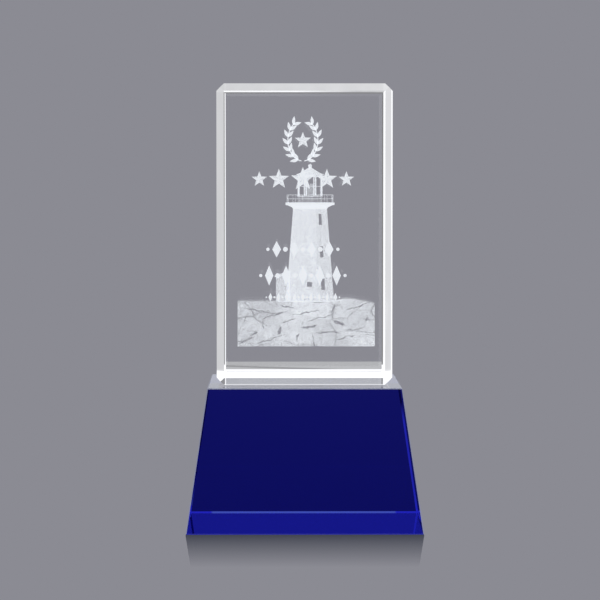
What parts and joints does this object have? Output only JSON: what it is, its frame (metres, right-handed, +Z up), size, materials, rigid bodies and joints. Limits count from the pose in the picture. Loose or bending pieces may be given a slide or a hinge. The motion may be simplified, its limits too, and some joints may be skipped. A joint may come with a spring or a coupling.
{
  "type": "engraved crystal award on a blue glass base",
  "caption": "Clear chamfered glass block standing on a tapered cobalt-blue glass plinth, bonded by a thin clear adhesive film.",
  "frame": {"origin": "centre of the base's underside", "axes": "+Z up, through the block; -Y is the front, the side the engraving is read from; +X is the viewer's right"},
  "size_m": [0.0938, 0.08, 0.1776],
  "materials": {
    "clear_crystal": "polished",
    "blue_crystal": "polished",
    "clear_adhesive": "polished"
  },
  "bodies": {
    "root": {"crystal_base": "blue_crystal", "bond_film": "clear_adhesive", "crystal_block": "clear_crystal"}
  },
  "joints": []
}
